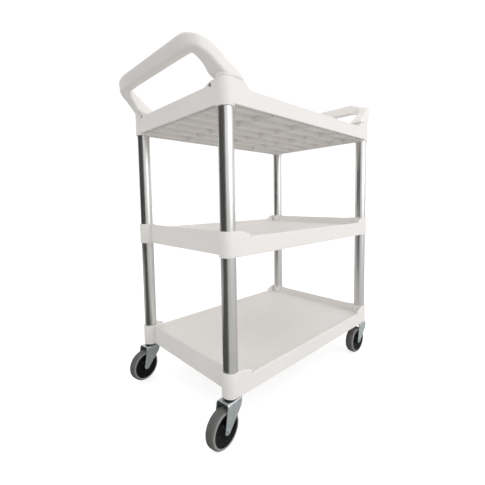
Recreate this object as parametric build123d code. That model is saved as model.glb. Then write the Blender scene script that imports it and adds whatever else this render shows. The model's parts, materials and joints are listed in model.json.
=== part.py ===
"""Three-shelf service cart: moulded trays on tubular uprights, two push handles and four swivel casters.

The frame has its origin on the floor under the middle of the cart, with +X along its length, +Y across it
and +Z up. All sizes are millimetres.
"""

from build123d import *
import os
from math import atan2, cos, sin

# ---- Driving dimensions -------------------------------------------------------------------------
post_spacing_x = 680.0
post_spacing_y = 418.5
post_diameter = 38.1
post_wall = 1.6
collar_radius = 22.6
socket_clearance = 0.1
ledge_thickness = 4.0
stop_thickness = 3.0
stop_hole_radius = 15.0

tray_wall = 5.0
floor_thickness = 4.5
floor_cove = 9.0
rib_thickness = 3.6
rib_pitch_x = 170.0
rib_pitch_y = 68.3
rib_rows_each_side = 3
lower_rib_columns_each_side = 1
top_rib_columns_each_side = 2

# Heights of the two lower trays; both come from the same kind of mould.
bottom_collar_base = 116.0
middle_collar_base = 463.5
collar_height = 63.5
lower_end_wall_x = 337.0
lower_floor_height = 35.5
bottom_long_rim = 44.0
middle_long_rim = 47.5
lower_end_rim = 61.5
rim_shoulder_drop = 9.0
dip_foot_x = 280.0
dip_head_x = 286.0
shoulder_x = 318.0

# Top tray, with a tower at each corner that carries a handle foot.
top_collar_base = 816.5
top_wall_base = 821.5
top_floor_top = 842.0
top_long_rim = 863.5
top_end_rim = 872.0
tower_top = 881.0
top_end_wall_x = 359.0
tower_inner_x = 303.0
tower_inner_y = 181.0
tower_slope_length = 27.0
tower_slope_width = 34.0
tower_corner = 19.0

# Push handle.
handle_top = 983.0
grip_outer_x = 426.0
grip_depth = 41.0
grip_height = 35.0
grip_rounding = 12.0
handle_foot_top = 889.0
handle_inner_x = 293.0
spigot_radius = 14.0
spigot_length = 13.0
tongue_depth = 9.0
tongue_width = 14.0
screw_y = 178.0
screw_z = 871.0
screw_radius = 2.0
screw_length = 15.0
screw_head_radius = 4.2
screw_head_height = 2.0

# Caster: a swivel fork with a trailing wheel, held in the upright by an expander socket.
wheel_radius = 48.5
wheel_width = 30.0
tread_depth = 9.0
hub_radius = wheel_radius - tread_depth
caster_trail = 33.0
fork_plate = 2.5
fork_gap = 33.6
fork_top = 111.0
crown_front = 24.0
crown_back = 31.0
axle_radius = 3.0
axle_clearance = 0.05
sleeve_radius = 5.2
bolt_head_radius = 5.0
bolt_head_height = 2.4
nut_height = 3.4
bolt_tip_length = 0.8
boss_radius = 13.0
kingpin_radius = 5.5
rivet_radius = 9.0
rivet_height = 2.0
rivet_gap = 0.3
stem_top = 148.0
socket_top = 152.0
race_radius = 19.5
race_gap = 1.2
track_radius = 15.0
track_depth = 1.6
track_rise = 1.0
ball_radius = 1.45
ball_count = 18
caster_heading = {
    "rear_right": 187.0,
    "rear_left": 188.4,
    "front_right": 179.5,
    "front_left": 183.0,
}

# ---- Worked-out values --------------------------------------------------------------------------
post_radius = post_diameter / 2
post_x = post_spacing_x / 2
post_y = post_spacing_y / 2
long_wall_y = post_y + collar_radius
socket_radius = post_radius + socket_clearance
corners = {
    "front_left": (1, 1),
    "front_right": (1, -1),
    "rear_left": (-1, 1),
    "rear_right": (-1, -1),
}


def ring(outer, inner, base, top):
    """A plain tube from base to top."""
    wall = Cylinder(outer, top - base, align=(Align.CENTER, Align.CENTER, Align.MIN))
    wall -= Cylinder(inner, top - base, align=(Align.CENTER, Align.CENTER, Align.MIN))
    return Pos(0, 0, base) * wall


def disc(radius, base, top):
    """A plain upright cylinder from base to top."""
    return Pos(0, 0, base) * Cylinder(radius, top - base, align=(Align.CENTER, Align.CENTER, Align.MIN))


def block(x_range, y_range, z_range):
    """A box between two corners."""
    size = [high - low for low, high in (x_range, y_range, z_range)]
    low_corner = (x_range[0], y_range[0], z_range[0])
    return Pos(*low_corner) * Box(*size, align=(Align.MIN, Align.MIN, Align.MIN))


def at_corner(shape, corner):
    """Move a shape made at the origin to a post axis."""
    side_x, side_y = corners[corner]
    return Pos(side_x * post_x, side_y * post_y, 0) * shape


# ---- Trays --------------------------------------------------------------------------------------
def basin(half_x, half_y, bottom, top):
    """The hollow of a tray, with a cove where its walls meet its floor."""
    hollow = block((-half_x, half_x), (-half_y, half_y), (bottom, top))
    uprights_edges = hollow.edges().filter_by(Axis.Z)
    hollow = fillet(uprights_edges, floor_cove)
    return fillet(hollow.faces().sort_by(Axis.Z)[0].edges(), floor_cove - 1)


def ribs(half_x, half_y, columns_each_side, bottom, top):
    """The waffle of ribs under a tray floor: long ones along X, short ones along Y."""
    half = rib_thickness / 2
    waffle = None
    for row in range(-rib_rows_each_side, rib_rows_each_side + 1):
        y = row * rib_pitch_y
        rib = block((-half_x, half_x), (y - half, y + half), (bottom, top))
        waffle = rib if waffle is None else waffle + rib
    for column in range(-columns_each_side, columns_each_side + 1):
        x = column * rib_pitch_x
        waffle += block((x - half, x + half), (-half_y, half_y), (bottom, top))
    return waffle


def long_wall_cutter(heights, top):
    """What is cut off above a long wall's rim, for heights given as (x, z) from the middle outwards."""
    left = [(-x, z) for x, z in reversed(heights)]
    outer_x = heights[-1][0]
    outline = left + heights + [(outer_x, top), (-outer_x, top)]
    face = make_face(Polyline(*outline, close=True))
    depth = 2 * collar_radius
    slab = extrude(Plane.XZ * face, amount=depth, both=True)
    return [Pos(0, side * (long_wall_y + depth - tray_wall - 1), 0) * slab for side in (-1, 1)]


def tray_outside(end_wall_x, corner_radius, bottom, top):
    """The outside of a tray as a solid block with round corners."""
    outside = block((-end_wall_x, end_wall_x), (-long_wall_y, long_wall_y), (bottom, top))
    return fillet(outside.edges().filter_by(Axis.Z), corner_radius)


def tray_blank(end_wall_x, corner_radius, rib_columns, wall_base, floor_top, wall_top):
    """A tray's four walls, floor and ribs, before its collars and rim are shaped."""
    inner_x = end_wall_x - tray_wall
    inner_y = long_wall_y - tray_wall
    blank = tray_outside(end_wall_x, corner_radius, wall_base, wall_top)
    blank -= basin(inner_x, inner_y, floor_top, wall_top + floor_cove)
    under = block((-inner_x, inner_x), (-inner_y, inner_y), (wall_base, floor_top - floor_thickness))
    blank -= fillet(under.edges().filter_by(Axis.Z), corner_radius - 1)
    return blank + ribs(inner_x, inner_y, rib_columns, wall_base, floor_top - floor_thickness)


def lower_tray(base, long_rim, floor_web):
    """A middle or bottom tray. floor_web is the bottom, top and hole radius of the ledge in each collar."""
    top = base + collar_height
    floor_top = base + lower_floor_height
    wall_top = base + lower_end_rim
    columns = lower_rib_columns_each_side
    tray = tray_blank(lower_end_wall_x, floor_cove, columns, base, floor_top, wall_top)
    slope = [(dip_head_x, top - rim_shoulder_drop), (shoulder_x, top)]
    for cutter in long_wall_cutter([(dip_foot_x, base + long_rim)] + slope, top + 1):
        tray -= cutter
    cheek_base = base + long_rim - 1
    outline = [(dip_foot_x, cheek_base)] + slope + [(post_x, top), (post_x, cheek_base)]
    cheek = extrude(Plane.XZ * make_face(Polyline(*outline, close=True)), amount=tray_wall)
    for side_x in (-1, 1):
        for side_y in (-1, 1):
            piece = cheek if side_x > 0 else mirror(cheek, Plane.YZ)
            tray += Pos(0, long_wall_y if side_y > 0 else -long_wall_y + tray_wall, 0) * piece
    web_bottom, web_top, hole = floor_web
    for corner in corners:
        tray += at_corner(disc(collar_radius, base, top), corner)
    socket = disc(hole, base, top) + disc(socket_radius, web_top, top)
    if web_bottom > base:
        socket += disc(socket_radius, base, web_bottom)
    for corner in corners:
        tray -= at_corner(socket, corner)
    return tray


def top_tray():
    """The top tray, with a tower over each upright that takes a handle foot."""
    columns = top_rib_columns_each_side
    tray = tray_blank(top_end_wall_x, tower_corner, columns, top_wall_base, top_floor_top, tower_top)
    slope_foot_x = tower_inner_x - tower_slope_length
    slope_foot_y = tower_inner_y - tower_slope_width
    heights = [(slope_foot_x, top_long_rim), (tower_inner_x, tower_top)]
    for cutter in long_wall_cutter(heights, tower_top + 1):
        tray -= cutter
    low = top_end_rim
    outline = [
        (-slope_foot_y, low),
        (slope_foot_y, low),
        (tower_inner_y, tower_top),
        (tower_inner_y, tower_top + 1),
        (-tower_inner_y, tower_top + 1),
        (-tower_inner_y, tower_top),
    ]
    notch_face = make_face(Polyline(*outline, close=True))
    notch = extrude(Plane.YZ * notch_face, amount=2 * top_end_wall_x, both=True)
    middle = block(
        (-top_end_wall_x + 2 * tray_wall, top_end_wall_x - 2 * tray_wall),
        (-long_wall_y, long_wall_y),
        (top_wall_base, tower_top + 1),
    )
    tray -= notch - middle
    for side_x, side_y in corners.values():
        x_range = sorted((side_x * tower_inner_x, side_x * top_end_wall_x))
        y_range = sorted((side_y * tower_inner_y, side_y * long_wall_y))
        tower = block(x_range, y_range, (top_floor_top - 1, tower_top))
        tray += tower & tray_outside(top_end_wall_x, tower_corner, top_floor_top - 1, tower_top)
    for corner in corners:
        tray += at_corner(disc(collar_radius, top_collar_base, tower_top), corner)
    spigot_hole = disc(spigot_radius + socket_clearance, tower_top - spigot_length - 1, tower_top)
    tube_hole = disc(socket_radius, top_collar_base, tower_top - 2 * spigot_length)
    for corner in corners:
        tray -= at_corner(tube_hole, corner)
        tray -= at_corner(spigot_hole, corner)
    for side_x, side_y in corners.values():
        tray -= handle_tongue(side_x, side_y, socket_clearance)
        tray -= screw_shank(side_x, side_y, screw_radius + socket_clearance)
    return tray


# ---- Uprights -----------------------------------------------------------------------------------
def upright(base, top):
    """One length of round tube."""
    return ring(post_radius, post_radius - post_wall, base, top)


# ---- Push handles -------------------------------------------------------------------------------
def handle_tongue(side_x, side_y, gap):
    """The tongue of a handle foot that stands in a pocket behind the end wall."""
    outer = top_end_wall_x - tray_wall
    x_range = sorted((side_x * (outer - tongue_depth - gap), side_x * (outer + gap)))
    half = tongue_width / 2 + gap
    y_range = (side_y * screw_y - half, side_y * screw_y + half)
    return block(x_range, y_range, (tower_top - spigot_length - gap - 4, tower_top + gap))


def screw_shank(side_x, side_y, radius):
    """The hole or shank of one handle screw, driven through the end wall."""
    shank = Cylinder(radius, screw_length, align=(Align.CENTER, Align.CENTER, Align.MAX))
    return Pos(side_x * top_end_wall_x, side_y * screw_y, screw_z) * Rot(0, side_x * 90, 0) * shank


def handle_profile():
    """Side view of a handle leg: it leaves the tower and curves out and up to the grip."""
    grip_inner_x = grip_outer_x - grip_depth
    with BuildSketch(Plane.XZ) as side:
        with BuildLine():
            Line((handle_inner_x, tower_top), (handle_inner_x, handle_foot_top + 8))
            Spline(
                (handle_inner_x, handle_foot_top + 8),
                (316, 911),
                (342, 919),
                (366, 931),
                (389, 953),
                (grip_outer_x - 16, handle_top),
            )
            Line((grip_outer_x - 16, handle_top), (grip_outer_x - 4, handle_top - 6))
            Line((grip_outer_x - 4, handle_top - 6), (grip_outer_x, handle_top - 20))
            Line((grip_outer_x, handle_top - 20), (grip_outer_x, handle_top - 47))
            Spline(
                (grip_outer_x, handle_top - 47),
                (405, 930),
                (grip_inner_x, 917),
                (367, 900),
                (362, tower_top),
            )
            Line((362, tower_top), (handle_inner_x, tower_top))
        make_face()
    return side.sketch


def handle_envelope():
    """End view and plan of the handle's outside: the legs lean inwards and the corners are round."""
    half_base = long_wall_y
    half_grip = 203.0
    end_view = Polyline(
        (-half_base, tower_top - 1),
        (-half_base, handle_foot_top),
        (-half_grip, 958),
        (-half_grip + 8, 974),
        (-half_grip + 30, handle_top + 1),
        (half_grip - 30, handle_top + 1),
        (half_grip - 8, 974),
        (half_grip, 958),
        (half_base, handle_foot_top),
        (half_base, tower_top - 1),
        close=True,
    )
    from_end = extrude(Plane.YZ * make_face(end_view), amount=grip_outer_x + 1)
    plan = make_face(
        Polyline(
            (handle_inner_x - 1, -half_base - 1),
            (372, -half_base - 1),
            (grip_outer_x - 22, -half_grip - 4),
            (grip_outer_x + 1, -half_grip + 26),
            (grip_outer_x + 1, half_grip - 26),
            (grip_outer_x - 22, half_grip + 4),
            (372, half_base + 1),
            (handle_inner_x - 1, half_base + 1),
            close=True,
        )
    )
    from_above = Pos(0, 0, tower_top - 1) * extrude(plan, amount=handle_top - tower_top + 3)
    return from_end & from_above


def handle_opening():
    """The hand space between the two legs, under and behind the grip."""
    half_low = 181.0
    half_high = 168.0
    grip_inner_x = grip_outer_x - grip_depth
    end_view = Polyline(
        (-half_low, tower_top - 2),
        (-half_high, 934),
        (-half_high + 8, handle_top - grip_height),
        (half_high - 8, handle_top - grip_height),
        (half_high, 934),
        (half_low, tower_top - 2),
        close=True,
    )
    under = extrude(Plane.YZ * make_face(end_view), amount=grip_outer_x + 1)
    behind = block((0, grip_inner_x), (-half_high + 6, half_high - 6), (tower_top, handle_top + 2))
    return under + behind


def push_handle(side_x):
    """One handle: two legs and a grip in one moulding, with a spigot and a tongue in each tower."""
    slab = extrude(handle_profile(), amount=long_wall_y, both=True)
    handle = (slab & handle_envelope()) - handle_opening()
    grip = RectangleRounded(grip_depth, grip_height, grip_rounding)
    grip_centre = (grip_outer_x - grip_depth / 2, handle_top - grip_height / 2)
    grip_bar = extrude(Plane.XZ * Pos(*grip_centre) * grip, amount=172, both=True)
    handle += grip_bar
    for side_y in (-1, 1):
        spigot = disc(spigot_radius, tower_top - spigot_length, tower_top + 1)
        handle += Pos(post_x, side_y * post_y, 0) * spigot
        handle += handle_tongue(1, side_y, 0)
        toe_y = sorted((side_y * (screw_y - tongue_width / 2), side_y * (tower_inner_y + 8)))
        toe_x = (top_end_wall_x - tray_wall - tongue_depth, top_end_wall_x - tray_wall)
        handle += block(toe_x, toe_y, (tower_top, handle_foot_top))
    for side_y in (-1, 1):
        handle -= screw_shank(1, side_y, screw_radius)
    return handle if side_x > 0 else mirror(handle, Plane.YZ)


def handle_screws():
    """Four pan-head screws, one in each handle foot."""
    screws = []
    for side_x, side_y in corners.values():
        head = Cylinder(screw_head_radius, screw_head_height, align=(Align.CENTER, Align.CENTER, Align.MIN))
        head = fillet(head.edges().sort_by(Axis.Z)[-1], 1.2)
        place = Pos(side_x * top_end_wall_x, side_y * screw_y, screw_z) * Rot(0, side_x * 90, 0)
        screws.append(place * head + screw_shank(side_x, side_y, screw_radius))
    return Compound(children=screws)


# ---- Casters ------------------------------------------------------------------------------------
# Each caster is made at the origin with its wheel trailing towards +X, then turned to its heading.
def caster_socket():
    """The plastic expander that fills the foot of an upright and grips the stem."""
    bore = kingpin_radius + socket_clearance
    ledge_top = bottom_collar_base + ledge_thickness
    foot = ring(post_radius - post_wall - 1.5, bore, bottom_collar_base, ledge_top)
    barrel = ring(post_radius - post_wall - socket_clearance, bore, ledge_top, socket_top)
    return foot + barrel


def caster_stem():
    """The steel stem: its pin goes up into the socket and down through the crown, to a riveted head."""
    rivet_top = fork_top - fork_plate - rivet_gap
    stem = disc(kingpin_radius, rivet_top, stem_top)
    stem += disc(rivet_radius, rivet_top - rivet_height, rivet_top)
    groove = ring(kingpin_radius + 1, kingpin_radius - 0.8, stem_top - 12, stem_top - 7)
    return stem - groove


def ball_track():
    """The ring-shaped track that the balls run in, half of it in the crown and half in the race."""
    return Pos(0, 0, fork_top + track_rise) * Torus(track_radius, track_depth)


def top_race():
    """The dished cap over the swivel balls, pressed onto the stem."""
    cap = disc(race_radius, fork_top + race_gap, bottom_collar_base)
    cap = fillet(cap.edges().sort_by(Axis.Z)[-1], 1.5)
    return cap - ball_track() - disc(kingpin_radius, fork_top, bottom_collar_base)


def swivel_balls():
    """The ring of steel balls that the fork turns on, each touching the top of the race's track."""
    centre_z = fork_top + track_rise + track_depth - ball_radius
    balls = []
    for index in range(ball_count):
        angle = 360 / ball_count * index
        balls.append(Rot(0, 0, angle) * Pos(track_radius, 0, centre_z) * Sphere(ball_radius))
    return Compound(children=balls)


def fork_side():
    """One leg of the fork: straight trailing edge, raked leading edge, rounded at the axle."""
    tip = 9.5
    shoulder_z = fork_top - 35
    rake = atan2(shoulder_z - wheel_radius, caster_trail + crown_front - 25 - tip)
    touch = (caster_trail - tip * sin(rake), wheel_radius - tip * cos(rake))
    bottom = (caster_trail, wheel_radius - tip)
    back = (caster_trail + tip, wheel_radius)
    with BuildSketch(Plane.XZ) as side:
        with BuildLine():
            Line((-crown_front, fork_top), (-crown_front + 3, shoulder_z + 12))
            Line((-crown_front + 3, shoulder_z + 12), (-crown_front + 11, shoulder_z))
            Line((-crown_front + 11, shoulder_z), touch)
            ThreePointArc(touch, bottom, back)
            Line(back, (crown_back, fork_top))
            Line((crown_back, fork_top), (-crown_front, fork_top))
        make_face()
    return extrude(side.sketch, amount=fork_plate / 2, both=True)


def fork():
    """The pressed steel fork: a square crown with two legs bent down from it."""
    half_gap = fork_gap / 2
    outer = half_gap + fork_plate
    body = block((-crown_front, crown_back), (-outer, outer), (fork_top - fork_plate, fork_top))
    for side in (-1, 1):
        body += Pos(0, side * (half_gap + fork_plate / 2), 0) * fork_side()
    top_edges = body.edges().filter_by(Axis.X).sort_by(Axis.Z)[-2:]
    body = fillet(top_edges, 2.0)
    body -= disc(kingpin_radius + axle_clearance, fork_top - 6, fork_top + 1)
    body -= ball_track()
    hole = Pos(caster_trail, 0, wheel_radius) * Rot(90, 0, 0) * Cylinder(axle_radius, 2 * outer + 2)
    return body - hole


def axle_bolt():
    """The axle bolt, with its hexagon head against one leg of the fork."""
    outer = fork_gap / 2 + fork_plate
    shank_length = 2 * outer + nut_height + bolt_tip_length
    shank = Cylinder(axle_radius, shank_length, align=(Align.CENTER, Align.CENTER, Align.MIN))
    head = extrude(RegularPolygon(bolt_head_radius, 6), amount=-bolt_head_height)
    bolt = shank + head
    return Pos(caster_trail, -outer, wheel_radius) * Rot(-90, 0, 0) * bolt


def axle_nut():
    """The locknut on the other end of the axle bolt."""
    outer = fork_gap / 2 + fork_plate
    nut = extrude(RegularPolygon(bolt_head_radius, 6), amount=nut_height)
    nut -= Cylinder(axle_radius, 3 * nut_height)
    return Pos(caster_trail, outer, wheel_radius) * Rot(-90, 0, 0) * nut


def axle_sleeve():
    """The steel sleeve clamped between the legs; the hub turns on it."""
    sleeve = Cylinder(sleeve_radius, fork_gap) - Cylinder(axle_radius, fork_gap)
    return Pos(caster_trail, 0, wheel_radius) * Rot(90, 0, 0) * sleeve


def wheel_section(points):
    """Turn a half section, given as (radius, distance across), about the axle."""
    face = Plane.XZ * make_face(Polyline(*points, close=True))
    turned = revolve(face, Axis.Z)
    return Pos(caster_trail, 0, wheel_radius) * Rot(90, 0, 0) * turned


def wheel_hub():
    """The hard core: a boss round the sleeve, a thin web and a deep rim."""
    half = wheel_width / 2
    bore = sleeve_radius + axle_clearance
    points = [
        (bore, -half - 0.8),
        (boss_radius, -half - 0.8),
        (boss_radius + 1.5, -half + 2.5),
        (17.0, -half + 7.0),
        (hub_radius - 9, -half + 7.0),
        (hub_radius - 6, -half + 2.0),
        (hub_radius, -half + 1.0),
        (hub_radius, half - 1.0),
        (hub_radius - 6, half - 2.0),
        (hub_radius - 9, half - 7.0),
        (17.0, half - 7.0),
        (boss_radius + 1.5, half - 2.5),
        (boss_radius, half + 0.8),
        (bore, half + 0.8),
    ]
    return wheel_section(points)


def wheel_tread():
    """The rubber tyre moulded over the hub, with a bevelled ring on each side."""
    half = wheel_width / 2
    points = [
        (hub_radius, -half + 1.0),
        (hub_radius + 1.5, -half),
        (wheel_radius - 5.0, -half + 1.0),
        (wheel_radius - 0.8, -half + 6.5),
        (wheel_radius, -half + 9.0),
        (wheel_radius, half - 9.0),
        (wheel_radius - 0.8, half - 6.5),
        (wheel_radius - 5.0, half - 1.0),
        (hub_radius + 1.5, half),
        (hub_radius, half - 1.0),
    ]
    return wheel_section(points)


# ---- Nodes --------------------------------------------------------------------------------------
def all_nodes():
    """Every node by its name."""
    ledge = (bottom_collar_base, bottom_collar_base + ledge_thickness, post_radius - post_wall - 1.4)
    tube_stop = middle_collar_base + collar_height / 2
    stop_web = (tube_stop - stop_thickness / 2, tube_stop + stop_thickness / 2, stop_hole_radius)
    nodes = {
        "top_tray": top_tray(),
        "middle_tray": lower_tray(middle_collar_base, middle_long_rim, stop_web),
        "bottom_tray": lower_tray(bottom_collar_base, bottom_long_rim, ledge),
        "push_handle_front": push_handle(1),
        "push_handle_rear": push_handle(-1),
        "handle_screws": handle_screws(),
    }
    caster_pieces = {
        "caster_stem": caster_stem(),
        "top_race": top_race(),
        "swivel_balls": swivel_balls(),
        "fork": fork(),
        "axle_bolt": axle_bolt(),
        "axle_nut": axle_nut(),
        "axle_sleeve": axle_sleeve(),
        "wheel_hub": wheel_hub(),
        "wheel_tread": wheel_tread(),
    }
    upper_tube = upright(stop_web[1], tower_top - 2 * spigot_length)
    lower_tube = upright(ledge[1], stop_web[0])
    socket = caster_socket()
    for corner, heading in caster_heading.items():
        nodes["upright_upper_" + corner] = at_corner(upper_tube, corner)
        nodes["upright_lower_" + corner] = at_corner(lower_tube, corner)
        nodes["caster_socket_" + corner] = at_corner(socket, corner)
        for name, piece in caster_pieces.items():
            nodes[name + "_" + corner] = at_corner(Rot(0, 0, heading) * piece, corner)
    return nodes


os.makedirs("parts", exist_ok=True)
for node_name, shape in all_nodes().items():
    export_step(shape, os.path.join("parts", node_name + ".step"))
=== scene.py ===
"""A three-shelf service cart: off-white mouldings, satin aluminium uprights and swivel casters."""

import json
import math

import bmesh
import bpy
import numpy as np
from mathutils import Matrix


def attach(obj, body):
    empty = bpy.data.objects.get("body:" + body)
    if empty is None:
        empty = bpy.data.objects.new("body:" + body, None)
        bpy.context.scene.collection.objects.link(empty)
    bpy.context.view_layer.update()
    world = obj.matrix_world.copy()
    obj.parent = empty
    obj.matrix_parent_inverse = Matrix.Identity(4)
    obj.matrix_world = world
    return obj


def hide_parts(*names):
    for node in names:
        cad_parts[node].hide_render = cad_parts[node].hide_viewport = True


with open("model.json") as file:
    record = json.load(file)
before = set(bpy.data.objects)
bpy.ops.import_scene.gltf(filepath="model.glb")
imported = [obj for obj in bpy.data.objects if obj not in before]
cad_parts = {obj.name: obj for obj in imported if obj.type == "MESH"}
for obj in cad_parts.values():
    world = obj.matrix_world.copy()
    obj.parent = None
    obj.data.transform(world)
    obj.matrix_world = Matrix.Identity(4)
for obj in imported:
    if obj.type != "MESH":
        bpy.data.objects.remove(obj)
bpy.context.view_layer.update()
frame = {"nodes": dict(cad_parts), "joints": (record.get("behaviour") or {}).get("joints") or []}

# ---- The viewpoint --------------------------------------------------------------------------------
# A wide lens at about bench height, just off the near corner of the cart, looking slightly down.
# The lens is raised against the sensor, so the uprights stay nearly parallel.
yaw, pitch, roll = math.radians(46.42), math.radians(-4.31), math.radians(-0.906)
ahead = np.array([math.cos(yaw) * math.cos(pitch), math.sin(yaw) * math.cos(pitch), math.sin(pitch)])
level_right = np.array([math.sin(yaw), -math.cos(yaw), 0.0])
level_up = np.cross(level_right, ahead)
right = math.cos(roll) * level_right + math.sin(roll) * level_up
up = math.cos(roll) * level_up - math.sin(roll) * level_right
viewpoint = bpy.data.objects.new("viewpoint", bpy.data.cameras.new("viewpoint"))
bpy.context.scene.collection.objects.link(viewpoint)
turned_view = Matrix([list(row) for row in np.stack([right, up, -ahead], axis=1)]).to_4x4()
viewpoint.matrix_world = Matrix.Translation((-0.8214, -0.7722, 0.5979)) @ turned_view
viewpoint.data.sensor_width = 36.0
viewpoint.data.lens = 22.98
viewpoint.data.shift_x = -0.0033
viewpoint.data.shift_y = -0.0373
bpy.context.scene.camera = viewpoint


# ---- Shelf plastic --------------------------------------------------------------------------------
# All the mouldings are structural foam: off-white, with a faint cloudy swirl where the melt flowed, a
# fine leathery grain from the mould, and a sheen that varies a little with the grain.
class Shade:
    """A socket in a material. Arithmetic on it adds Math nodes, and node() adds any other node."""

    def __init__(self, tree, socket=None):
        self.tree, self.socket = tree, socket

    def node(self, kind, inputs, output=0, **settings):
        """Add a node: its settings first, then each socket's value or link."""
        made = self.tree.nodes.new(kind)
        for name, setting in settings.items():
            setattr(made, name, setting)
        for name, value in inputs.items():
            if isinstance(value, Shade):
                self.tree.links.new(value.socket, made.inputs[name])
            else:
                made.inputs[name].default_value = value
        return Shade(self.tree, made.outputs[output])

    def math(self, operation, first, second):
        return self.node("ShaderNodeMath", {0: first, 1: second}, operation=operation)

    def __add__(self, other):
        return self.math("ADD", self, other)

    def __mul__(self, other):
        return self.math("MULTIPLY", self, other)

    __radd__ = __add__
    __rmul__ = __mul__

    def noise(self, place, scale, detail=2.0):
        """Soft noise between 0 and 1, scale being lumps to the metre."""
        return self.node("ShaderNodeTexNoise", {"Vector": place, "Scale": scale, "Detail": detail})

    def stretched(self, x, y, z):
        """Object coordinates in metres, drawn out or squeezed along each axis."""
        place = self.node("ShaderNodeTexCoord", {}, output=3)
        return self.node("ShaderNodeMapping", {"Vector": place, "Scale": (x, y, z)})

    def between(self, factor, low, high):
        """A colour that goes from low to high as factor goes from 0 to 1."""
        inputs = {"Factor": factor, 6: (*low, 1.0), 7: (*high, 1.0)}
        return self.node("ShaderNodeMix", inputs, output=2, data_type="RGBA")


def new_finish(name, **constants):
    """A material with one Principled shader: gives the material, its shader and a Shade to build on."""
    material = bpy.data.materials.new(name)
    material.use_nodes = True
    shader = material.node_tree.nodes["Principled BSDF"]
    for socket, value in constants.items():
        shader.inputs[socket.replace("_", " ")].default_value = value
    return material, shader, Shade(material.node_tree)


def feed(shader, **links):
    """Link worked-out values to the shader's sockets."""
    for socket, value in links.items():
        value.tree.links.new(value.socket, shader.inputs[socket.replace("_", " ")])


shelf_plastic, shader, shade = new_finish("shelf_plastic", IOR=1.49, Coat_Weight=0.0)
anywhere = shade.stretched(1, 1, 1)
flow = shade.noise(shade.stretched(1, 1, 2.5), 7, 4)
fine_grain = shade.noise(anywhere, 950, 3)
leather_grain = shade.node("ShaderNodeTexVoronoi", {"Vector": anywhere, "Scale": 620.0}, feature="SMOOTH_F1")
plastic_tone = flow * 0.7 + fine_grain * 0.3
colour = shade.between(plastic_tone, (0.800, 0.774, 0.748), (0.884, 0.859, 0.833))
relief = leather_grain * 0.6 + fine_grain * 0.4
bumped = shade.node("ShaderNodeBump", {"Height": relief, "Strength": 0.22, "Distance": 0.0003})
feed(shader, Base_Color=colour, Roughness=flow * 0.12 + fine_grain * 0.10 + 0.36, Normal=bumped)


# ---- Trays ----------------------------------------------------------------------------------------
# Each tray is one structural-foam moulding: a coved basin, walls with a rolled rim that drops along the
# long sides, a socket at each corner for the uprights and a waffle of ribs underneath.
MM = 0.001
post_x, post_y = 340.0, 209.25
collar_radius, tube_radius = 22.6, 19.15
wall, long_wall = 5.0, 231.85  # wall thickness, and from the middle to the outside of a long wall
rib_pitch_x, rib_pitch_y = 170.0, 68.3
corners = {"front_left": (1, 1), "front_right": (1, -1), "rear_left": (-1, 1), "rear_right": (-1, -1)}


def skin(points, round_rows=False, round_columns=True, capped=True):
    """Faces over a grid of points, rows by columns: quads between neighbours, and a fan over each end loop."""
    rows, columns = points.shape[:2]
    index = np.arange(rows * columns).reshape(rows, columns)
    if round_rows:
        index = np.vstack([index, index[:1]])
    if round_columns:
        index = np.hstack([index, index[:, :1]])
    quads = np.stack([index[:-1, :-1], index[:-1, 1:], index[1:, 1:], index[1:, :-1]], axis=-1)
    vertices = points.reshape(-1, 3)
    faces = quads.reshape(-1, 4).tolist()
    if capped and not round_rows:
        for row, loop in ((0, index[0]), (-1, index[-1])):
            hub = len(vertices)
            vertices = np.vstack([vertices, points[row].mean(axis=0)])
            faces += [[hub, int(a), int(b)] for a, b in zip(loop[:-1], loop[1:])]
    return vertices, faces


def moulding(name, parts, material, body, nodes, crease=38):
    """One mesh from several closed skins given in millimetres, faces turned outwards and shaded smooth."""
    vertices, faces, start = [], [], 0
    for points, polygons in parts:
        vertices.append(points)
        faces += [[start + corner for corner in polygon] for polygon in polygons]
        start += len(points)
    mesh = bpy.data.meshes.new(name)
    mesh.from_pydata((np.vstack(vertices) * MM).tolist(), [], faces)
    shell = bmesh.new()
    shell.from_mesh(mesh)
    bmesh.ops.remove_doubles(shell, verts=shell.verts, dist=0.00001)
    bmesh.ops.recalc_face_normals(shell, faces=shell.faces)
    shell.to_mesh(mesh)
    shell.free()
    mesh.shade_smooth()
    mesh.set_sharp_from_angle(angle=math.radians(crease))
    mesh.materials.append(material)
    piece = bpy.data.objects.new(name, mesh)
    bpy.context.scene.collection.objects.link(piece)
    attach(piece, body)
    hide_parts(*nodes)
    return piece


def eased(x, low, high):
    """A smooth S from 0 at low to 1 at high: three t squared less two t cubed."""
    t = np.clip((x - low) / (high - low), 0, 1)
    return t * t * (3 - 2 * t)


def rounded_outline(half_x, half_y, radius, along_x, along_y):
    """Points round a rectangle with round corners, anticlockwise from its lower left: straight sides at
    the fractions given, and a quarter circle of ten points at each corner."""
    flat_x, flat_y = half_x - radius, half_y - radius
    turn = np.linspace(0, np.pi / 2, 10)
    pieces = []
    for quarter in range(4):
        straight = along_x if quarter % 2 == 0 else along_y
        run, out = (flat_x, half_y) if quarter % 2 == 0 else (flat_y, half_x)
        side = np.stack([straight * run, np.full(len(straight), -out)], axis=1)
        bend = np.stack([np.sin(turn), -np.cos(turn)], axis=1) * radius + [run, radius - out]
        angle = quarter * np.pi / 2
        spin = np.array([[np.cos(angle), np.sin(angle)], [-np.sin(angle), np.cos(angle)]])
        pieces.append(np.vstack([side, bend[1:]]) @ spin)
    return np.vstack(pieces)


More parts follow.
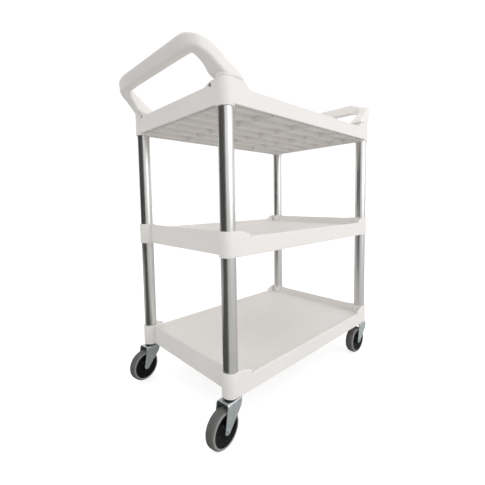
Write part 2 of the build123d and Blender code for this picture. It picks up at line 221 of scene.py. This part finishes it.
def tray_shell(end_wall, corner, base, floor_top, rim_height, floor_thickness=4.5):
    """The walls and floor. A profile is carried round the outline: from the basin's middle out through the
    cove, up the drafted inner wall, over the rolled rim, down the outer wall and back under the floor."""
    special = np.array([276.0, 279.5, 281.0, 282.0, 284.5, 286.0])
    even = np.linspace(-330, 330, 111)
    along_x = np.unique(np.concatenate([even, special, -special])) / 332
    along_y = np.linspace(-1, 1, 61)
    outer = rounded_outline(end_wall, long_wall, corner, along_x, along_y)
    rim = rim_height(outer[:, 0], outer[:, 1])
    cove, roll_radius, draft = 8.0, wall / 2, 1.6
    quarter = np.linspace(0, np.pi / 2, 7)
    arch = np.linspace(0, np.pi, 9)
    rows = []  # distance in from the outer wall, fixed height, share of the rim's height
    rows += [(wall + draft + cove * (1 - math.sin(a)), floor_top + cove * (1 - math.cos(a)), 0) for a in quarter]
    rows += [(wall / 2 + roll_radius * math.cos(a), roll_radius * (math.sin(a) - 1), 1) for a in arch]
    rows += [(0, -3.0, 1), (0, base + 1.8, 0), (0, base + 1.2, 0), (0.4, base + 0.4, 0), (1.2, base, 0)]
    rows += [(wall - 1, base, 0), (wall, base + 1, 0), (wall, floor_top - floor_thickness - 3, 0)]
    rows += [(wall + 3, floor_top - floor_thickness, 0)]
    points = []
    for depth, height, share in rows:
        loop = rounded_outline(end_wall - depth, long_wall - depth, max(corner - depth, 1.5), along_x, along_y)
        points.append(np.column_stack([loop, height + share * rim]))
    return skin(np.array(points))


def turned(profile, centre, steps=72, closed=True):
    """A section of (radius, height) turned about an upright axis through centre."""
    profile = np.array(profile, float)
    angle = np.linspace(0, 2 * np.pi, steps, endpoint=False)
    spread = profile[:, None, 0] * np.stack([np.cos(angle), np.sin(angle)])[:, None, :]
    height = np.broadcast_to(profile[:, 1:], spread[0].shape)
    points = np.stack([spread[0] + centre[0], spread[1] + centre[1], height], axis=-1)
    return skin(points, round_rows=closed, capped=not closed)


def socket_collar(centre, base, top):
    """A corner socket: a ring with a rounded lip at each end."""
    lip = 1.2
    bend = np.linspace(0, np.pi / 2, 5)
    outer_top = [(collar_radius - lip + lip * math.sin(a), top - lip + lip * math.cos(a)) for a in bend]
    outer_foot = [(collar_radius - lip + lip * math.cos(a), base + lip - lip * math.sin(a)) for a in bend]
    inner_foot = [(tube_radius, base), (tube_radius, base + 0.6)]
    inner_top = [(tube_radius, top - 0.6), (tube_radius + 0.6, top)]
    return turned(outer_top + outer_foot + inner_foot + inner_top, centre)


def rib(start, end, base, top, thickness=3.6):
    """A straight rib: a bar with draft, its lower edge rounded, between two points in plan."""
    half = thickness / 2
    tip = half * 0.72
    section = [(half, top), (tip, base + 0.9), (tip * 0.5, base)]
    section = np.array(section + [(-across, height) for across, height in section[::-1]])
    start, end = np.array(start, float), np.array(end, float)
    across = np.array([start[1] - end[1], end[0] - start[0]]) / np.linalg.norm(end - start)
    ends = [np.column_stack([place + section[:, :1] * across, section[:, 1]]) for place in (start, end)]
    return skin(np.array(ends))


def waffle(end_wall, base, floor_top):
    """Seven long ribs under a tray's floor, and short ones across wherever they fit between the end walls."""
    reach_x, reach_y = end_wall - wall + 0.5, long_wall - wall + 0.5
    under = floor_top - 4.0
    columns = [column * rib_pitch_x for column in range(-2, 3) if abs(column) * rib_pitch_x < reach_x]
    rows = [row * rib_pitch_y for row in range(-3, 4)]
    long_ribs = [rib((-reach_x, y), (reach_x, y), base + 0.4, under) for y in rows]
    return long_ribs + [rib((x, -reach_y), (x, reach_y), base + 0.7, under) for x in columns]


def lower_rim(long_height, shoulder_height, collar_top, end_height):
    """Rim height of a middle or bottom tray: low along the sides, with a small nick at the foot of a steep
    step, then a slow rise to the collar."""

    def height(x, y):
        reach, nick = np.abs(x), 3.0
        side = long_height - nick * eased(reach, 278.5, 281)
        side = side + (shoulder_height - long_height + nick) * eased(reach, 282.5, 287)
        side = side + (collar_top - shoulder_height) * eased(reach, 287, 318)
        end = end_height + (collar_top - end_height) * eased(np.abs(y), 150, 186)
        return np.where(np.abs(y) > long_wall - 6, side, end)

    return height


lower_end_wall, lower_corner, collar_height, end_rim, floor_height = 337.0, 5.0, 63.5, 61.5, 35.5
for name, base, long_height in (("bottom_tray", 116.0, 160.0), ("middle_tray", 463.5, 511.0)):
    top, floor_top = base + collar_height, base + floor_height
    rim_line = lower_rim(long_height, top - 9, top, base + end_rim)
    parts = [tray_shell(lower_end_wall, lower_corner, base, floor_top, rim_line)]
    parts += [socket_collar((sx * post_x, sy * post_y), base, top) for sx, sy in corners.values()]
    parts += waffle(lower_end_wall, base, floor_top)
    moulding(name + "_moulding", parts, shelf_plastic, "chassis", [name])


top_end_wall, top_corner, top_wall_base, top_floor_top = 359.0, 19.0, 821.5, 842.0
top_collar_base, tower_top, top_long_rim, top_end_rim = 816.5, 881.0, 863.5, 872.0


def top_rim(x, y):
    """Rim height of the top tray: an S-curve up to a tower at each corner, from a lower rim along the sides."""
    side = top_long_rim + (tower_top - top_long_rim) * eased(np.abs(x), 276, 303)
    end = top_end_rim + (tower_top - top_end_rim) * eased(np.abs(y), 147, 181)
    return np.where(np.abs(y) > long_wall - 6, side, end)


def tower(sx, sy):
    """The solid tower over an upright: a block with round corners and a softened top edge."""
    x_span, y_span = (301.0, 358.4), (179.0, 231.25)
    centre = np.array([sum(x_span), sum(y_span)]) / 2
    halves = np.array([x_span[1] - x_span[0], y_span[1] - y_span[0]]) / 2
    rows = []
    for inset, z in ((0, 840), (0, 879.4), (0.4, 880.4), (1.4, 880.9)):
        sides = np.linspace(-1, 1, 5)
        loop = rounded_outline(halves[0] - inset, halves[1] - inset, 18.0 - inset, sides, sides)
        inner = (loop[:, 0] < 0) | (loop[:, 1] < 0)
        square = np.clip(loop * 1.25, -(halves - inset), halves - inset)
        loop = np.where(inner[:, None], square, loop)
        rows.append(np.column_stack([(loop + centre) * [sx, sy], np.full(len(loop), z)]))
    return skin(np.array(rows))


parts = [tray_shell(top_end_wall, top_corner, top_wall_base, top_floor_top, top_rim)]
for sx, sy in corners.values():
    parts.append(socket_collar((sx * post_x, sy * post_y), top_collar_base, tower_top))
parts += [tower(sx, sy) for sx, sy in corners.values()]
parts += waffle(top_end_wall, top_wall_base, top_floor_top)
moulding("top_tray_moulding", parts, shelf_plastic, "chassis", ["top_tray"])


# ---- Push handles ---------------------------------------------------------------------------------
# One at each end, moulded in the same plastic: a foot caps each tower, a flat leg curves out and up
# from it, and a hand grip joins the two legs above and beyond the end of the tray.
def smooth_rail(stations, steps):
    """A Catmull-Rom curve through stations: each span is a cubic whose end slopes are half the step
    between the stations on either side."""
    stations = np.array(stations, float)
    padded = np.concatenate([2 * stations[:1] - stations[1:2], stations, 2 * stations[-1:] - stations[-2:-1]])
    t = np.linspace(0, 1, steps, endpoint=False)[:, None, None]
    before, here, after, beyond = padded[:-3], padded[1:-2], padded[2:-1], padded[3:]
    slope, next_slope = (after - before) / 2, (beyond - here) / 2
    curve = (
        here * (2 * t**3 - 3 * t**2 + 1)
        + slope * (t**3 - 2 * t**2 + t)
        + after * (3 * t**2 - 2 * t**3)
        + next_slope * (t**3 - t**2)
    )
    return np.concatenate([curve.transpose(1, 0, 2).reshape(-1, stations.shape[1]), stations[-1:]])


def squared_section(corner_points, roundness, columns=40):
    """A rounded square mapped onto four corners: a superellipse gives across and up between -1 and 1, and
    the four corners are weighted by them."""
    angle = np.linspace(0, 2 * np.pi, columns, endpoint=False)
    power = 2 / roundness[:, None]
    across = np.sign(np.cos(angle)) * np.abs(np.cos(angle)) ** power
    rise = np.sign(np.sin(angle)) * np.abs(np.sin(angle)) ** power
    inner_foot, outer_foot, outer_top, inner_top = corner_points.reshape(-1, 4, 3).transpose(1, 0, 2)[:, :, None]
    across, rise = across[..., None], rise[..., None]
    low = inner_foot * (1 - across) + outer_foot * (1 + across)
    high = inner_top * (1 - across) + outer_top * (1 + across)
    return (low * (1 - rise) + high * (1 + rise)) / 4


leg_stations = [  # inner foot, outer foot, outer top, inner top (x, y, z each), then how square the section is
    (297, 188, 881, 297, 229, 881, 297, 226, 887, 297, 190, 886, 5),
    (303, 184, 881, 303, 231, 881, 302, 228, 894, 302, 187, 892, 5),
    (325, 182, 881, 325, 232, 881, 321, 227, 908, 321, 187, 905, 5),
    (350, 181, 882, 353, 231, 884, 343, 224, 923, 343, 185, 920, 5),
    (367, 182, 888, 368, 226, 898, 364, 220, 940, 364, 182, 935, 5),
    (381, 180, 908, 391, 218, 918, 386, 212, 957, 385, 177, 950, 4.5),
    (393, 173, 924, 410, 206, 929, 411, 205, 962, 391, 168, 963, 4.6),
    (396, 162, 935, 420, 187, 936, 424, 187, 967, 395, 157, 972, 5),
    (390, 151, 940, 417, 165, 940, 427, 166, 972, 394, 149, 979, 5.5),
    (387, 143, 943, 413, 147, 943, 427, 147, 974, 393, 141, 982, 6),
]
grip_stations = [
    (386, 135, 945, 411, 136, 944, 427, 135, 974, 393, 135, 983, 6),
    (386, 70, 945, 411, 70, 944, 427, 70, 974, 393, 70, 983, 6),
    (386, 0, 945, 411, 0, 944, 427, 0, 974, 393, 0, 983, 6),
]
half_rails = np.vstack([smooth_rail(leg_stations, 8), smooth_rail(grip_stations, 10)])
other_half = half_rails[::-1].copy()[1:]
other_half[:, [1, 4, 7, 10]] *= -1
rails = np.vstack([half_rails, other_half])
for end, side in (("front", 1), ("rear", -1)):
    sections = squared_section(rails[:, :12], rails[:, 12])
    sections[:, :, 0] *= side
    foot_caps = []
    for sy in (-1, 1):
        cap_profile = [(22.2, 881.2), (22.5, 882.0), (22.2, 892.0), (20.5, 903.0), (17.0, 907.0)]
        foot_caps.append(turned(cap_profile, (side * post_x, sy * post_y), closed=False))
    moulding(
        "push_handle_" + end + "_moulding", [skin(sections)] + foot_caps, shelf_plastic,
        "chassis", ["push_handle_" + end], crease=60,
    )

# ---- Uprights -------------------------------------------------------------------------------------
# Lengths of round aluminium tube, extruded, satin finished and anodised. Fine draw lines run along
# them, and each end is pushed into a tray's socket.
satin_tube, shader, shade = new_finish("satin_tube", Metallic=1.0)
draw_lines = shade.noise(shade.stretched(1, 1, 0.012), 1400, 2)
handling = shade.noise(shade.stretched(1, 1, 0.3), 22, 3)
colour = shade.between(draw_lines * 0.6 + handling * 0.4, (0.62, 0.62, 0.61), (0.80, 0.80, 0.79))
bumped = shade.node("ShaderNodeBump", {"Height": draw_lines, "Strength": 0.10, "Distance": 0.0001})
feed(shader, Base_Color=colour, Roughness=draw_lines * 0.10 + handling * 0.08 + 0.20, Normal=bumped)

tube_outer, tube_inner = 19.05, 17.45
for corner, (sx, sy) in corners.items():
    for level, base, top in (("lower", 120.0, 493.7), ("upper", 496.8, 855.0)):
        tube = [(tube_outer, top), (tube_outer, base), (tube_inner, base), (tube_inner, top)]
        node = "upright_" + level + "_" + corner
        part = turned(tube, (sx * post_x, sy * post_y), steps=96)
        moulding(node + "_tube", [part], satin_tube, "chassis", [node])

# ---- Wheels ---------------------------------------------------------------------------------------
# A hard black core, dished between its rim and a boss that turns on the axle sleeve, with a grey
# thermoplastic rubber tyre moulded over it. The tyre's colour has random grain and scuffs, and a paler
# ring along each shoulder that is painted light, standing in for light falling on the shoulders.
wheel_black, shader, shade = new_finish("wheel_black", IOR=1.5, Specular_IOR_Level=0.1)
speckle = shade.noise(shade.stretched(1, 1, 1), 700, 3)
cloud = shade.noise(shade.stretched(1, 1, 1), 60, 3)
colour = shade.between(cloud, (0.004, 0.004, 0.0045), (0.011, 0.011, 0.012))
bumped = shade.node("ShaderNodeBump", {"Height": speckle, "Strength": 0.12, "Distance": 0.0002})
feed(shader, Base_Color=colour, Roughness=cloud * 0.14 + 0.24, Normal=bumped)

grey_tyre, shader, shade = new_finish("grey_tyre", IOR=1.45)
rubber_grain = shade.noise(shade.stretched(1, 1, 1), 850, 3)
scuffs = shade.noise(shade.stretched(1, 1, 1), 90, 4)
# Painted light: this mask lightens a ring on each shoulder, standing in for light falling on the shoulders.
painted_light_shoulder = shade.node("ShaderNodeAttribute", {}, output=2, attribute_name="painted_light_shoulder")
grain_scuffs_and_painted_light = rubber_grain * 0.15 + scuffs * 0.25 + painted_light_shoulder * 0.5
colour = shade.between(grain_scuffs_and_painted_light, (0.040, 0.040, 0.039), (0.420, 0.415, 0.405))
bumped = shade.node("ShaderNodeBump", {"Height": rubber_grain + scuffs, "Strength": 0.2, "Distance": 0.0003})
feed(shader, Base_Color=colour, Roughness=scuffs * 0.15 + 0.50, Normal=bumped)


def rounded_profile(points, radius=1.0, steps=4):
    """A closed section with its corners rounded: each corner is replaced by a quadratic curve between
    points a radius away on either side of it."""
    points = np.array(points, float)
    back, ahead = np.roll(points, 1, axis=0) - points, np.roll(points, -1, axis=0) - points
    reach_back, reach_ahead = np.linalg.norm(back, axis=1), np.linalg.norm(ahead, axis=1)
    start = points + back * (np.minimum(radius, reach_back * 0.45) / reach_back)[:, None]
    finish = points + ahead * (np.minimum(radius, reach_ahead * 0.45) / reach_ahead)[:, None]
    t = np.linspace(0, 1, steps)[:, None, None]
    curve = start * (1 - t) ** 2 + 2 * points * t * (1 - t) + finish * t**2
    return curve.transpose(1, 0, 2).reshape(-1, 2)


joints = {joint["name"]: joint for joint in frame["joints"]}
hub_profile = [
    (5.25, 15.8), (12.2, 15.8), (14.2, 12.0), (17.5, 8.2), (29.5, 7.6), (33.5, 12.6), (39.5, 14.0),
    (39.5, -14.0), (33.5, -12.6), (29.5, -7.6), (17.5, -8.2), (14.2, -12.0), (12.2, -15.8), (5.25, -15.8),
]
tyre_profile = [
    (39.5, 14.0), (41.2, 15.0), (43.6, 14.3), (47.6, 9.4), (48.5, 5.5),
    (48.5, -5.5), (47.6, -9.4), (43.6, -14.3), (41.2, -15.0), (39.5, -14.0),
]


def caster_places(corner):
    """Where a caster's post and axle are, and how far round its wheel trails, from its two joints."""
    post = np.array(joints["caster_swivel_" + corner]["pos_m"]) / MM
    axle = np.array(joints["wheel_spin_" + corner]["pos_m"]) / MM
    return post, axle, math.atan2(axle[1] - post[1], axle[0] - post[0])


def about_axle(part, axle, heading):
    """Lay a turned part on its side, with its axis along the axle."""
    points, faces = part
    aside = np.array([-math.sin(heading), math.cos(heading), 0])
    forward = np.array([math.cos(heading), math.sin(heading), 0])
    upright = np.array([0, 0, 1])
    return axle + points[:, :1] * forward + points[:, 1:2] * upright + points[:, 2:] * aside, faces


for corner in corners:
    post, axle, heading = caster_places(corner)
    for kind, profile, radius, material, slot in (
        ("hub", hub_profile, 1.4, wheel_black, "hub_plastic"),
        ("tread", tyre_profile, 1.3, grey_tyre, "grey_tread"),
    ):
        part = about_axle(turned(rounded_profile(profile, radius), (0, 0), steps=96), axle, heading)
        node = "wheel_" + kind + "_" + corner
        wheel_mesh = moulding(node + "_turned", [part], material, "wheel_" + corner, [node]).data
        aside = np.array([-math.sin(heading), math.cos(heading), 0])
        arm = np.array([vertex.co for vertex in wheel_mesh.vertices]) / MM - axle
        arm -= np.outer(arm @ aside, aside)
        from_axle = np.linalg.norm(arm, axis=1)
        # The ring round each shoulder where the tyre's colour is lightened as painted light.
        ring = eased(from_axle, 39.0, 40.5) * (1 - eased(from_axle, 43.0, 45.5))
        wheel_mesh.attributes.new("painted_light_shoulder", "FLOAT", "POINT").data.foreach_set("value", ring)

# ---- Caster forks and races -----------------------------------------------------------------------
# The fork is pressed from one sheet of steel and bright zinc plated: a flat crown with a leg bent down
# on each side of the wheel. A dished race sits over its balls, and the stem is riveted through both.
zinc_plate, shader, shade = new_finish("zinc_plate", Metallic=1.0)
spangle = shade.node("ShaderNodeTexVoronoi", {"Vector": shade.stretched(1, 1, 1), "Scale": 260.0}, output=0)
clouding = shade.noise(shade.stretched(1, 1, 1), 75, 4)
scratches = shade.noise(shade.stretched(1, 1, 0.1), 900, 2)
colour = shade.between(clouding * 0.7 + spangle * 0.3, (0.44, 0.49, 0.50), (0.78, 0.83, 0.83))
bumped = shade.node("ShaderNodeBump", {"Height": clouding + scratches * 0.3, "Strength": 0.10, "Distance": 0.0003})
feed(shader, Base_Color=colour, Roughness=clouding * 0.16 + scratches * 0.10 + 0.20, Normal=bumped)


# The race's dark grey is painted shade, standing in for the shadow in the gap between the fork's crown and the
# tray's socket. A random mottle varies it a little.
race_steel, shader, shade = new_finish("race_steel", Metallic=1.0)
race_mottle = shade.noise(shade.stretched(1, 1, 1), 180, 3)
colour = shade.between(race_mottle, (0.10, 0.10, 0.10), (0.20, 0.20, 0.20))
feed(shader, Base_Color=colour, Roughness=race_mottle * 0.2 + 0.3)


def fork_strip():
    """The sheet before it gets its thickness: a strip bent into an arch over the wheel. Across the arch the
    line runs up one leg, round a bend and over the crown; at each height the strip is as wide as a leg is."""
    half, bend, crown, axle_height, tip = 18.05, 4.0, 109.75, 48.5, 9.5
    round_tip = np.linspace(axle_height - tip * 0.999, axle_height, 8)
    down = np.concatenate([round_tip, np.linspace(axle_height + 2, crown - bend, 28)])
    arc = np.linspace(0, np.pi / 2, 7)[1:]
    y = np.concatenate([np.full(len(down), half), half - bend + bend * np.cos(arc), [half * 0.4, 0]])
    z = np.concatenate([down, crown - bend + bend * np.sin(arc), [crown, crown]])
    y, z = np.concatenate([y, -y[-2::-1]]), np.concatenate([z, z[-2::-1]])
    trail, crown_back, fork_top = 33.0, 31.0, 111.0
    curve = np.sqrt(np.clip(tip**2 - np.clip(axle_height - z, -tip, tip) ** 2, 0, None))
    risen = (z - axle_height) / (fork_top - axle_height)
    back = np.where(z > axle_height, trail + tip + (crown_back - trail - tip) * risen, trail + curve)
    touch = axle_height - 6.1
    raked = np.interp(z, [touch, 76.0, 88.0, fork_top], [25.7, -5.5, -16.5, -21.5])
    front = np.where(z > touch, raked, trail - curve)
    share = np.linspace(0, 1, 12)
    x = front[:, None] + (back - front)[:, None] * share
    return np.stack([x, np.broadcast_to(y[:, None], x.shape), np.broadcast_to(z[:, None], x.shape)], axis=-1)


race_profile = rounded_profile([(5.5, 112.2), (19.5, 112.2), (19.5, 114.4), (17.0, 116.0), (5.5, 116.0)], 0.8)
for corner in corners:
    post, axle, heading = caster_places(corner)
    points, faces = skin(fork_strip(), round_columns=False, capped=False)
    forward = np.array([math.cos(heading), math.sin(heading), 0])
    aside = np.array([-math.sin(heading), math.cos(heading), 0])
    points = post * [1, 1, 0] + points[:, :1] * forward + points[:, 1:2] * aside + points[:, 2:] * [0, 0, 1]
    fork = moulding(
        "fork_" + corner + "_pressing", [(points, faces)], zinc_plate,
        "swivel_" + corner, ["fork_" + corner],
    )
    sheet = fork.modifiers.new("sheet_thickness", "SOLIDIFY")
    sheet.thickness, sheet.offset = 0.0025, 0.0
    edge = fork.modifiers.new("broken_edge", "BEVEL")
    edge.width, edge.segments, edge.limit_method, edge.angle_limit = 0.0004, 2, "ANGLE", math.radians(50)
    race = turned(race_profile, post[:2])
    name = "top_race_" + corner
    moulding(name + "_turned", [race], race_steel, "chassis", [name])

# ---- Fasteners and stems --------------------------------------------------------------------------
# Bought-in steel parts, zinc plated like the forks: handle screws, caster stems, swivel balls, axle
# bolts, locknuts and sleeves. The expanders that grip the stems are black nylon.
black_nylon, shader, shade = new_finish("black_nylon")
nylon_mottle = shade.noise(shade.stretched(1, 1, 1), 300, 3)
colour = shade.between(nylon_mottle, (0.012, 0.012, 0.013), (0.030, 0.030, 0.031))
feed(shader, Base_Color=colour, Roughness=nylon_mottle * 0.2 + 0.4)
for name, node in frame["nodes"].items():
    if node.hide_render:
        continue
    node.data.materials.clear()
    node.data.materials.append(black_nylon if name.startswith("caster_socket") else zinc_plate)

# ---- Studio ---------------------------------------------------------------------------------------
# A pale floor and an even white surround, with one large soft light from the front right. Two dark
# boards and a dark card on the floor show only in reflections, and give the round metal its edge.
floor_paint, shader, shade = new_finish("floor_paint", Roughness=0.9)
tone = shade.noise(shade.stretched(1, 1, 1), 3, 2)
seen = shade.node("ShaderNodeLightPath", {})
feed(shader, Base_Color=shade.between(tone, (0.47, 0.47, 0.47), (0.49, 0.49, 0.49)))
feed(shader, Emission_Color=shade.between(seen, (0.08, 0.08, 0.08), (0.74, 0.74, 0.74)))
shader.inputs["Emission Strength"].default_value = 1.0


def stage_sheet(name, corner_points, material):
    """A flat four-cornered sheet that belongs to the studio, not the cart."""
    mesh = bpy.data.meshes.new(name)
    mesh.from_pydata(corner_points, [], [(0, 1, 2, 3)])
    mesh.materials.append(material)
    sheet = bpy.data.objects.new(name, mesh)
    bpy.context.scene.collection.objects.link(sheet)
    return sheet


reach = 30.0
floor_corners = [(-reach, -reach, 0), (reach, -reach, 0), (reach, reach, 0), (-reach, reach, 0)]
stage_sheet("studio_floor", floor_corners, floor_paint)

board_black, shader, shade = new_finish("board_black", Roughness=1.0)
felt = shade.noise(shade.stretched(1, 1, 1), 2)
feed(shader, Base_Color=shade.between(felt, (0.050, 0.050, 0.048), (0.070, 0.070, 0.067)))
left, middle, right_end = (-1.9, -1.35), (-2.5, 0.75), (-1.2, 2.6)
for name, start, finish in (("dark_board", left, middle), ("dark_board_wing", middle, right_end)):
    board = stage_sheet(name, [(*start, 0.02), (*finish, 0.02), (*finish, 2.2), (*start, 2.2)], board_black)
    board.visible_camera = board.visible_diffuse = board.visible_shadow = False
card_corners = [(-0.40, -0.20, 0.004), (-0.40, 0.45, 0.004), (-2.5, 0.9, 0.004), (-2.1, -1.4, 0.004)]
card = stage_sheet("dark_floor_card", card_corners, board_black)
card.visible_camera = card.visible_diffuse = card.visible_shadow = False

surround = bpy.data.worlds.new("surround")
bpy.context.scene.world = surround
surround.use_nodes = True
tree = surround.node_tree
path = tree.nodes.new("ShaderNodeLightPath")
blend = tree.nodes.new("ShaderNodeMix")
blend.data_type = "FLOAT"
blend.inputs[2].default_value, blend.inputs[3].default_value = 0.97, 1.05
tree.links.new(path.outputs["Is Camera Ray"], blend.inputs[0])
tree.links.new(blend.outputs[0], tree.nodes["Background"].inputs["Strength"])
tree.nodes["Background"].inputs["Color"].default_value = (1, 1, 1, 1)


def soft_light(name, place, aim, width, height, power):
    """A rectangular soft light aimed at a point."""
    lamp = bpy.data.lights.new(name, "AREA")
    lamp.shape, lamp.size, lamp.size_y, lamp.energy = "RECTANGLE", width, height, power
    light = bpy.data.objects.new(name, lamp)
    bpy.context.scene.collection.objects.link(light)
    back = np.array(place) - np.array(aim)
    back = back / np.linalg.norm(back)
    aside = np.cross([0, 0, 1], back)
    aside = aside / np.linalg.norm(aside)
    turn = Matrix([list(row) for row in np.stack([aside, np.cross(back, aside), back], axis=1)]).to_4x4()
    light.matrix_world = Matrix.Translation(place) @ turn


soft_light("front_soft_light", (0.7, -3.0, 1.5), (0, 0, 0.5), 2.6, 2.4, 26)
bpy.context.scene.view_settings.view_transform = "Standard"
